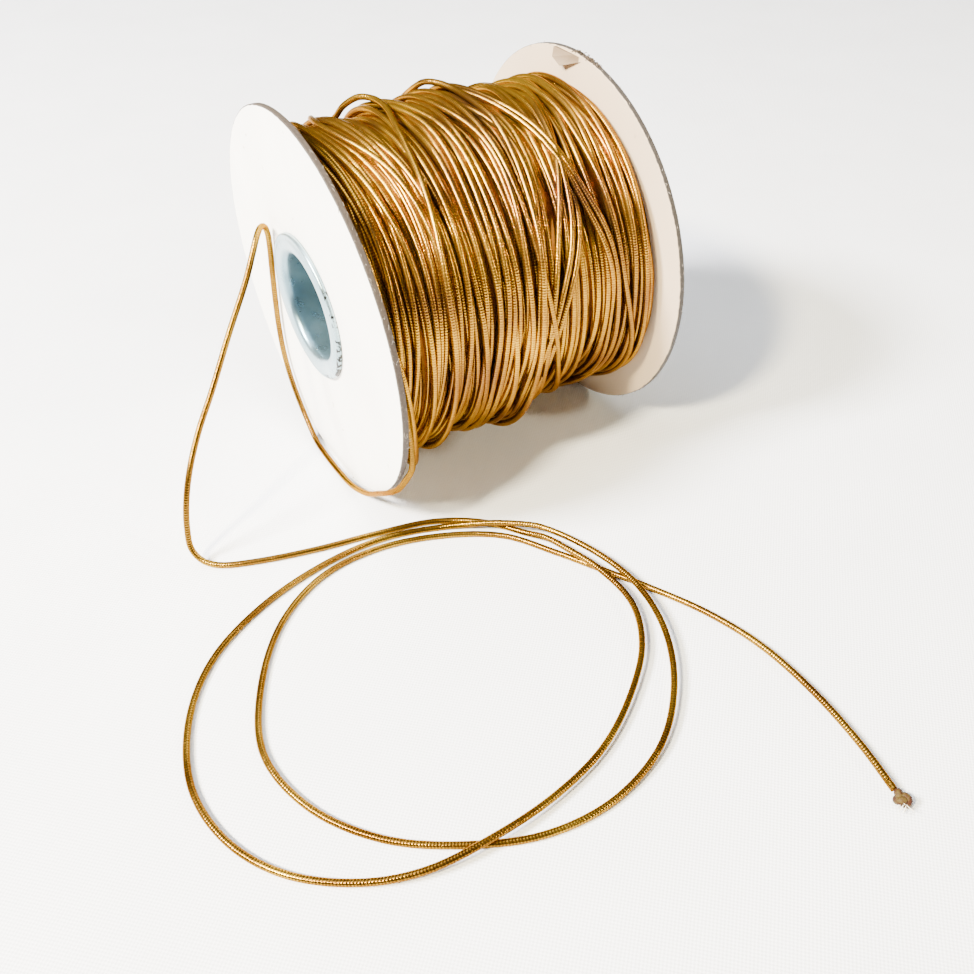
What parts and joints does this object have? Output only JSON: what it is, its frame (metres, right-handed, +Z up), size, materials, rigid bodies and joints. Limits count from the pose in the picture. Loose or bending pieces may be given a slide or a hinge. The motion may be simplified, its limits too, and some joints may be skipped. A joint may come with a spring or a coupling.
{
  "type": "reel of metallic elastic cord",
  "caption": "Card reel with a flared tin core, wound with gold metallic elastic cord whose loose end leans on the near disc and lies on the floor in loops, with a knot at its tip.",
  "frame": {"origin": "on the floor, under the middle of the reel", "axes": "+Z up, Y along the reel's axis with the near disc at -Y, loose cord towards -Y and +X"},
  "size_m": [0.1372, 0.0973, 0.0633],
  "materials": {
    "card": "matt white card with a raw grey-brown rim",
    "tin": "bright tin with a cool cast",
    "gold_cord": "glossy gold metallic wrap over an elastic core",
    "cord_tip": "matt frayed fibre"
  },
  "bodies": {
    "root": {"near_disc": "card", "far_disc": "card", "core_tube": "tin", "wound_cord": "gold_cord", "loose_cord": "gold_cord", "cord_end_knot": "cord_tip"}
  },
  "joints": []
}
